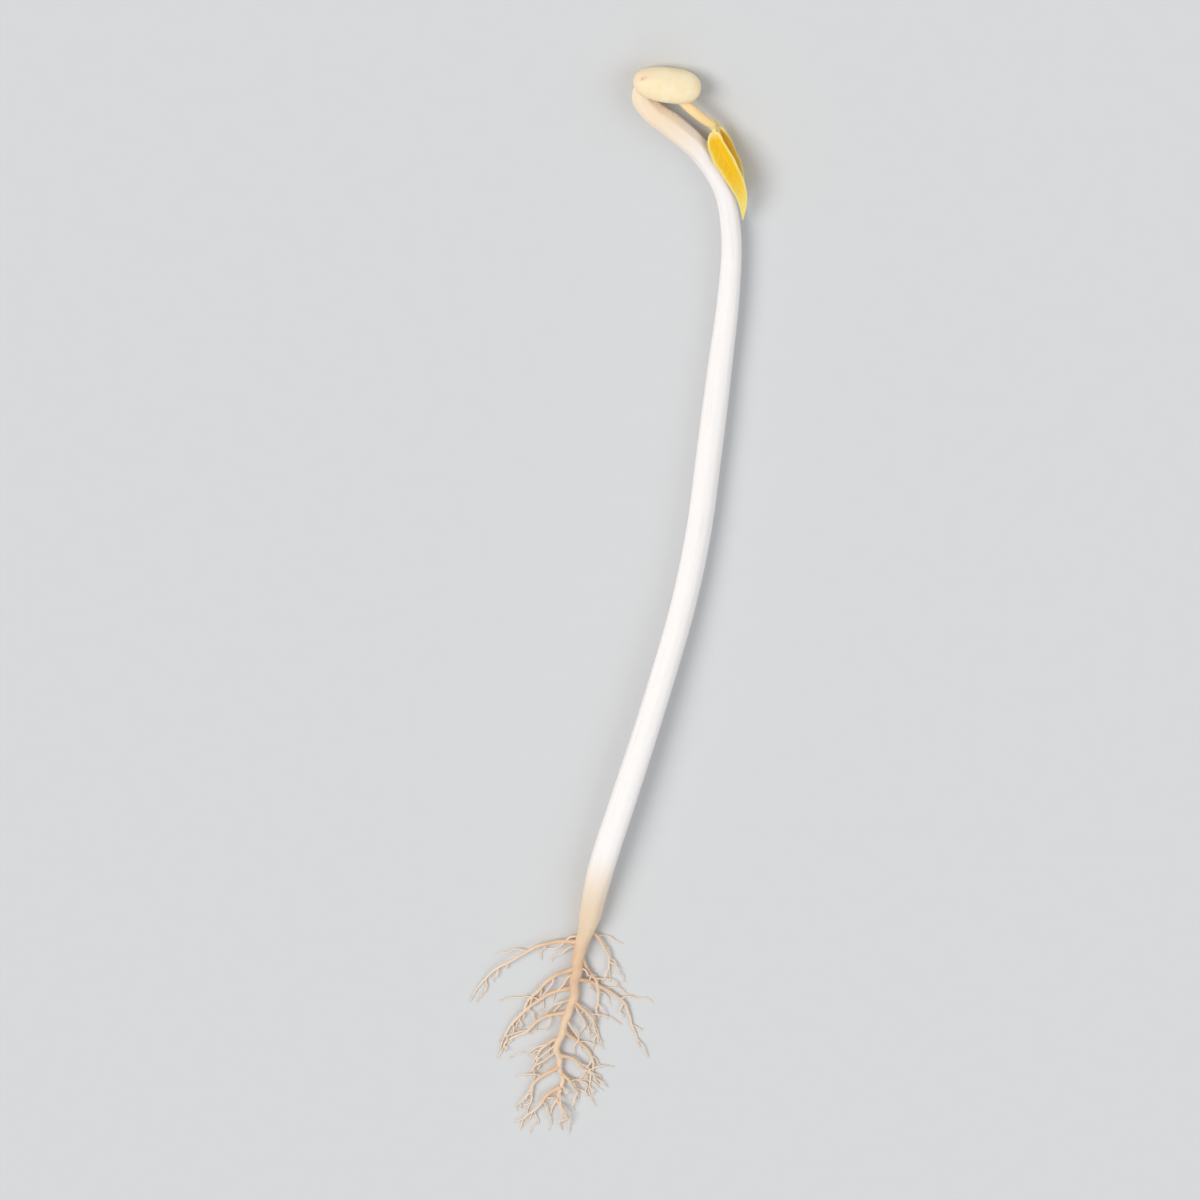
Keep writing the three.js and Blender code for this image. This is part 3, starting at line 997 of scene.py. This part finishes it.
def branch_route(start, ahead, length, slant, sway, lift):
    """A root's way: out at a slant, down to the table and round to the front."""
    place = np.array(start, float)
    route = [tuple(place)]
    for slant_share, sway_share, lift_share in BRANCH_STRETCHES:
        way = turned(ahead, slant_share * slant + sway_share * sway)
        place = place + way * length / len(BRANCH_STRETCHES)
        route.append((place[0], place[1], lift_share * lift))
    return route


def fine_route(start, ahead, size, bounds, draw):
    """The way of a rootlet or a thread, drawn between bounds."""
    slants, lengths, sways, lifts = bounds
    slant = between(*slants, next(draw)) * (1 if next(draw) > 0.5 else -1)
    length = between(*lengths, next(draw)) * size
    sway = between(*sways, next(draw))
    return branch_route(start, ahead, length, slant, sway, between(*lifts, next(draw)))


def root_skin(settings):
    """The taproot, its side roots and the fine roots, with the strands they lie on."""
    skin = Skin()
    stem = Line(STEM_ROUTE)
    collar = [tuple(stem.at(up * MM / stem.length) / MM) for up in (TAPROOT_COLLAR, TAPROOT_COLLAR / 2)]
    way = [*collar, *TAPROOT_ROUTE]
    strands = [root_strand(skin, way, TAPROOT_STRAND, 1.0, TAPROOT_COLLAR)]
    laid = strands[0][0]
    bare = Line(TAPROOT_ROUTE)
    draw = seeded_draw(20)
    fine = seeded_draw(77)

    def on_taproot(share):
        """Its middle in millimetres, its radius and its level heading."""
        whole = between(COLLAR_SHARE, 1, share)
        ahead = bare.heading(share) * (1, 1, 0)
        radius = float(stops_at(TAPROOT_RADIUS, whole))
        return laid.at(whole) / MM, radius, ahead / np.linalg.norm(ahead)

    for i in range(SIDE_ROOTS):
        share = between(*SIDE_PLACES, (i + SIDE_STRAY * next(draw)) / SIDE_ROOTS)
        side = 1 if i % 2 == 0 else -1
        length = between(*SIDE_LENGTH, share) * between(*SIDE_VARIES, next(draw))
        slant = side * between(*SIDE_SLANT, next(draw))
        sway = math.degrees(next(draw) - 0.5)
        start, _, ahead = on_taproot(share)
        start[2] -= SIDE_SINK
        route = branch_route(start, ahead, length, slant, sway, SIDE_LIFT * next(draw))
        side_root = root_strand(skin, route, SIDE_STRAND, 10.0 + i)
        strands.append(side_root)
        line = side_root[0]
        for k in range(settings.rootlets):
            place = between(*ROOTLET_PLACES, (k + next(fine)) / settings.rootlets)
            start = line.at(place) / MM
            start[2] -= ROOTLET_SINK
            size = between(*ROOTLET_SIZE, place)
            route = fine_route(start, line.heading(place), size, ROOTLET_BOUNDS, fine)
            strands.append(root_strand(skin, route, ROOTLET_STRAND, 40.0 + i + 0.1 * k))
    for i in range(settings.threads):
        share = between(*THREAD_PLACES, next(fine))
        start, radius, ahead = on_taproot(share)
        start[2] += radius * between(*THREAD_HEIGHT, next(fine)) - THREAD_SINK
        route = fine_route(start, ahead, between(*THREAD_SIZE, share), THREAD_BOUNDS, fine)
        strands.append(root_strand(skin, route, THREAD_STRAND, 80.0 + i))
    return skin, strands


def root_hair_skin(strands, count):
    """Very fine hairs on the younger stretches of the roots."""
    skin = Skin()
    draw = seeded_draw(5)
    turn = full_turn(HAIR_SIDES)[:, None]
    share = np.linspace(0, 1, HAIR_POINTS)[:, None]
    width = between(*HAIR_WIDTH, share)[..., None] * MM
    lengths = np.array([line.length for line, _ in strands])
    bounds = np.cumsum(lengths) / lengths.sum()
    for _ in range(count):
        line, radius = strands[int(np.searchsorted(bounds, next(draw)))]
        place = between(*HAIR_PLACES, next(draw) ** 0.8)
        heading = line.heading(place)
        right, up = cross_frame(heading[None])
        angle = between(-HAIR_BELOW, math.pi + HAIR_BELOW, next(draw))
        spoke = math.cos(angle) * right[0] + math.sin(angle) * up[0]
        start = line.at(place) + spoke * radius(place) * HAIR_START
        length = between(*HAIR_LENGTH, next(draw)) * MM
        way = unit(spoke + between(*HAIR_LEAN, next(draw)) * heading)
        curl = HAIR_CURL * heading * between(-1, 1, next(draw)) - (0, 0, HAIR_CURL)
        points = start + share * length * way + share**2 * length * curl
        points[:, 2] = np.maximum(points[:, 2], HAIR_FLOOR * MM)
        side = unit(np.cross(way, HAIR_ASKEW))
        spokes = np.cos(turn) * side + np.sin(turn) * np.cross(side, way)
        skin.loft(points[:, None] + width * spokes)
    return skin


# ------ operators


class SPROUT_OT_stem(bpy.types.Operator):
    """Grow the stem with its hooked top"""

    bl_idname = "sprout.stem"
    bl_label = "Stem"

    def execute(self, context):
        settings = context.scene.sprout_stem
        stem_skin(settings).grow("stem", "hypocotyl", "stem", stem_finish(settings))
        return {"FINISHED"}


class SPROUT_OT_seed_leaves(bpy.types.Operator):
    """Grow the two seed leaves that fold back from the hook"""

    bl_idname = "sprout.seed_leaves"
    bl_label = "Seed leaves"

    def execute(self, context):
        settings = context.scene.sprout_seed_leaf
        finish = seed_leaf_finish(settings)
        seed_leaf_skin(settings, 1).grow("seed_leaf_upper", "cotyledon_upper", "seed_leaf", finish)
        seed_leaf_skin(settings, -1).grow("seed_leaf_lower", "cotyledon_lower", "seed_leaf", finish)
        return {"FINISHED"}


class SPROUT_OT_young_stem(bpy.types.Operator):
    """Grow the young stem that comes out between the seed leaves"""

    bl_idname = "sprout.young_stem"
    bl_label = "Young stem"

    def execute(self, context):
        finish = young_stem_finish(context.scene.sprout_stem)
        young_stem_skin().grow("young_stem", "epicotyl", "young_stem", finish)
        return {"FINISHED"}


class SPROUT_OT_leaves(bpy.types.Operator):
    """Grow the first pair of leaves"""

    bl_idname = "sprout.leaves"
    bl_label = "First leaves"

    def execute(self, context):
        settings = context.scene.sprout_leaf
        finish = leaf_finish(settings)
        leaf_skin(settings, **UPPER_LEAF).grow("first_leaf_upper", "leaf_upper", "leaf", finish)
        leaf_skin(settings, **LOWER_LEAF).grow("first_leaf_lower", "leaf_lower", "leaf", finish)
        return {"FINISHED"}


class SPROUT_OT_roots(bpy.types.Operator):
    """Grow the taproot with its side roots and rootlets"""

    bl_idname = "sprout.roots"
    bl_label = "Roots"

    def execute(self, context):
        settings = context.scene.sprout_root
        skin, strands = root_skin(settings)
        skin.grow("roots", "taproot", "root", root_finish(settings))
        hairs = root_hair_skin(strands, settings.hairs)
        hairs.grow("root_hairs", None, "root", root_hair_finish(settings))
        return {"FINISHED"}


class SPROUT_OT_table(bpy.types.Operator):
    """Set the table, the lamps and the camera"""

    bl_idname = "sprout.table"
    bl_label = "Table and camera"

    def execute(self, context):
        settings = context.scene.sprout_table
        half = TABLE_HALF * MM
        corners = [(-half, -half, 0), (half, -half, 0), (half, half, 0), (-half, half, 0)]
        mesh = bpy.data.meshes.new("table")
        mesh.from_pydata(corners, [], [(0, 1, 2, 3)])
        mesh.materials.append(table_finish(settings))
        table = placed("table", mesh)

        low, high = SOLID_BOUNDS
        aim = (low + high) / 2 + Vector((0, settings.shift, 0))
        for name, way, share, spread, colour in LAMPS:
            lamp = bpy.data.lights.new(name, "SUN")
            lamp.energy = settings.lamp * share
            lamp.angle = math.radians(spread)
            lamp.color = colour
            placed(name, lamp).rotation_euler = (-Vector(way)).to_track_quat("-Z", "Y").to_euler()

        world = context.scene.world = bpy.data.worlds.new("sky")
        world.use_nodes = True
        light = world.node_tree.nodes["Background"].inputs
        light["Color"].default_value = (1, 1, 1, 1)
        light["Strength"].default_value = settings.sky
        context.scene.view_settings.view_transform = "Standard"

        camera = bpy.data.cameras.new("camera")
        camera.lens = settings.lens
        holder = context.scene.camera = placed("camera", camera)
        tilt = settings.tilt
        back = Vector((0, math.sin(tilt), math.cos(tilt)))
        up = Vector((0, math.cos(tilt), -math.sin(tilt)))
        right = up.cross(back)
        shown = (high.y - low.y) * math.cos(tilt)
        distance = shown / FILL * camera.lens / camera.sensor_width
        turn = Matrix((right, up, back)).transposed().to_4x4()
        holder.matrix_world = Matrix.Translation(aim + back * distance) @ turn
        camera.clip_start = 0.01
        return {"FINISHED"}


class SPROUT_PT_panel(bpy.types.Panel):
    """Lists the sprout's pieces and their settings"""

    bl_idname = "SPROUT_PT_panel"
    bl_label = "Mung bean sprout"
    bl_space_type = "VIEW_3D"
    bl_region_type = "UI"
    bl_category = "Sprout"

    def draw(self, context):
        for group, _, operators in GROUPS:
            box = self.layout.box()
            for operator in operators:
                box.operator(operator.bl_idname)
            settings = getattr(context.scene, group)
            for name in settings.bl_rna.properties.keys():
                if name not in ("rna_type", "name"):
                    box.prop(settings, name)


GROUPS = [
    ("sprout_stem", StemSettings, [SPROUT_OT_stem, SPROUT_OT_young_stem]),
    ("sprout_seed_leaf", SeedLeafSettings, [SPROUT_OT_seed_leaves]),
    ("sprout_leaf", LeafSettings, [SPROUT_OT_leaves]),
    ("sprout_root", RootSettings, [SPROUT_OT_roots]),
    ("sprout_table", TableSettings, [SPROUT_OT_table]),
]
CLASSES = [
    *(settings for _, settings, _ in GROUPS),
    *(operator for _, _, operators in GROUPS for operator in operators),
    SPROUT_PT_panel,
]


def register():
    for made in CLASSES:
        bpy.utils.register_class(made)
    for name, settings, _ in GROUPS:
        setattr(bpy.types.Scene, name, PointerProperty(type=settings))


def unregister():
    for name, _, _ in GROUPS:
        delattr(bpy.types.Scene, name)
    for made in reversed(CLASSES):
        bpy.utils.unregister_class(made)


def main():
    register()
    bpy.ops.sprout.table()
    bpy.ops.sprout.stem()
    bpy.ops.sprout.seed_leaves()
    bpy.ops.sprout.young_stem()
    bpy.ops.sprout.leaves()
    bpy.ops.sprout.roots()


if __name__ == "__main__":
    main()
